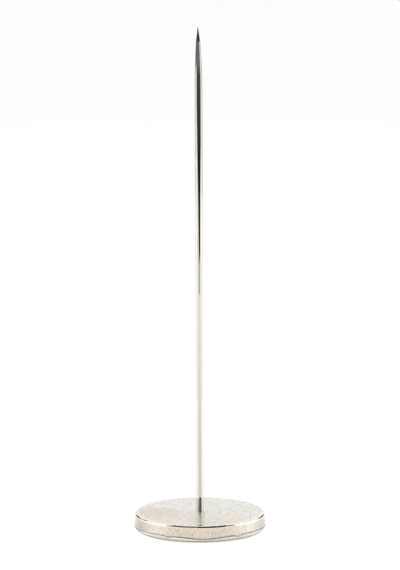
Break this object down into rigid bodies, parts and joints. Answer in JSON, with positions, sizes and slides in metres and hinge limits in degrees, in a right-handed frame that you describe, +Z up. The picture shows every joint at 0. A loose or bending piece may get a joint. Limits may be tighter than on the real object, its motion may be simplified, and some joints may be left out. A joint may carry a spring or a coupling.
{
  "type": "receipt spike",
  "caption": "Counter spike for paid slips: a tall ground steel spike standing on a low, round, weighted, nickel-plated base with felt underneath.",
  "frame": {"origin": "on the counter under the spike, at the middle of the felt's underside", "axes": "+Z up along the spike; the part is round about Z, so X and Y are free"},
  "size_m": [0.07, 0.07, 0.266],
  "materials": {
    "nickel_spike": "polished, nickel plated, with a ground point",
    "nickel_sheet": "pressed sheet, nickel plated, softly polished with slight tarnish",
    "iron_weight": "as cast, with machined flats",
    "fasteners": "zinc plated",
    "felt": "pressed wool felt"
  },
  "bodies": {
    "root": {"spike": "nickel_spike", "base_cover": "nickel_sheet", "base_weight": "iron_weight", "base_pan": "nickel_sheet", "flat_washer": "fasteners", "lock_washer": "fasteners", "spike_nut": "fasteners", "felt_pad": "felt"}
  },
  "joints": []
}
